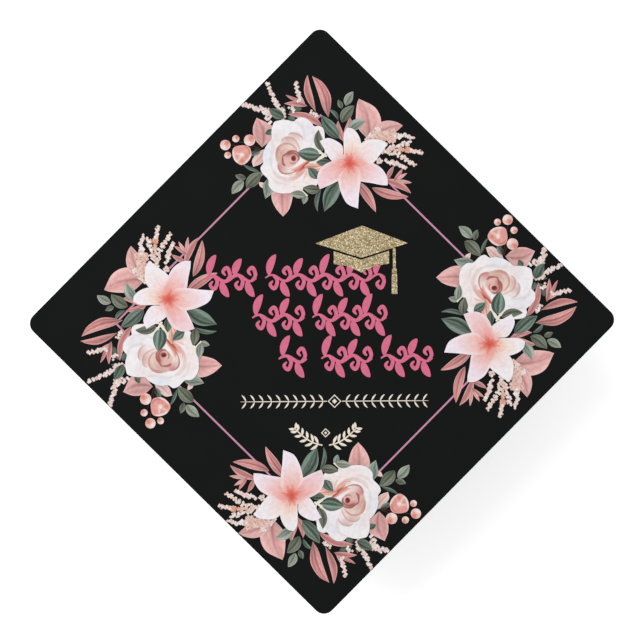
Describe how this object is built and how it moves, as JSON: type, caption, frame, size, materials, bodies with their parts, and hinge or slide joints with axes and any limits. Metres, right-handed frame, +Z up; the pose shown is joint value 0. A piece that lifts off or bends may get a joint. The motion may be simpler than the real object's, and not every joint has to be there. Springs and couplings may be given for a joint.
{
  "type": "graduation cap",
  "caption": "Square black graduation cap on a fabric skull cap with an elastic back, a covered button and a removable floral printed topper panel.",
  "frame": {"origin": "centre of the bounding box's base, on the surface that the hem stands on", "axes": "+Z up through the button and the topper, -Y towards the wearer's face, +X to the right of a person who looks along +Y"},
  "size_m": [0.327, 0.327, 0.089],
  "materials": {
    "black_cloth": "matt black woven polyester with a faint sheen",
    "grey_card": "plain grey board",
    "white_stiffener": "thin plastic sheet",
    "sweatband_cloth": "soft brushed black cloth",
    "black_elastic": "ribbed knitted elastic",
    "white_label": "blank satin tape",
    "tinned_steel": "bright tinned",
    "black_washer": "moulded black",
    "black_panel": "black foam plastic sheet",
    "printed_face": "matt black print with coloured flowers and gold glitter",
    "loop_pile": "brushed loop pile",
    "hook_plastic": "fine moulded hooks"
  },
  "bodies": {
    "cap": {"board_core": "grey_card", "board_cover_top": "black_cloth", "board_cover_under": "black_cloth", "crown_left": "black_cloth", "crown_right": "black_cloth", "front_panel": "black_cloth", "front_stiffener": "white_stiffener", "sweatband": "sweatband_cloth", "seam_tape_left": "black_cloth", "seam_tape_right": "black_cloth", "button_washer": "black_washer", "loop_pad_front": "loop_pile", "loop_pad_right": "loop_pile", "loop_pad_back": "loop_pile", "loop_pad_left": "loop_pile"},
    "back": {"back_panel": "black_cloth", "elastic_band": "black_elastic", "elastic_casing": "black_cloth", "size_label": "white_label"},
    "button": {"button_cloth": "black_cloth", "button_shell": "tinned_steel", "button_back": "tinned_steel", "button_push_nut": "tinned_steel"},
    "topper": {"topper_panel": "black_panel", "print_sheet": "printed_face", "hook_pad_front": "hook_plastic", "hook_pad_right": "hook_plastic", "hook_pad_back": "hook_plastic", "hook_pad_left": "hook_plastic"}
  },
  "joints": [
    {"name": "topper_lift", "type": "slide", "parent": "cap", "child": "topper", "axis": [0, 0, 1], "range_m": [0, 0.08]},
    {"name": "button_turn", "type": "hinge", "parent": "cap", "child": "button", "pos_m": [0, 0, 0.0826], "axis": [0, 0, 1], "continuous": true},
    {"name": "back_stretch", "type": "hinge", "parent": "cap", "child": "back", "pos_m": [0, 0.099, 0.078], "axis": [1, 0, 0], "range_deg": [0, 8], "stiffness_Nm_per_rad": 1.5}
  ]
}
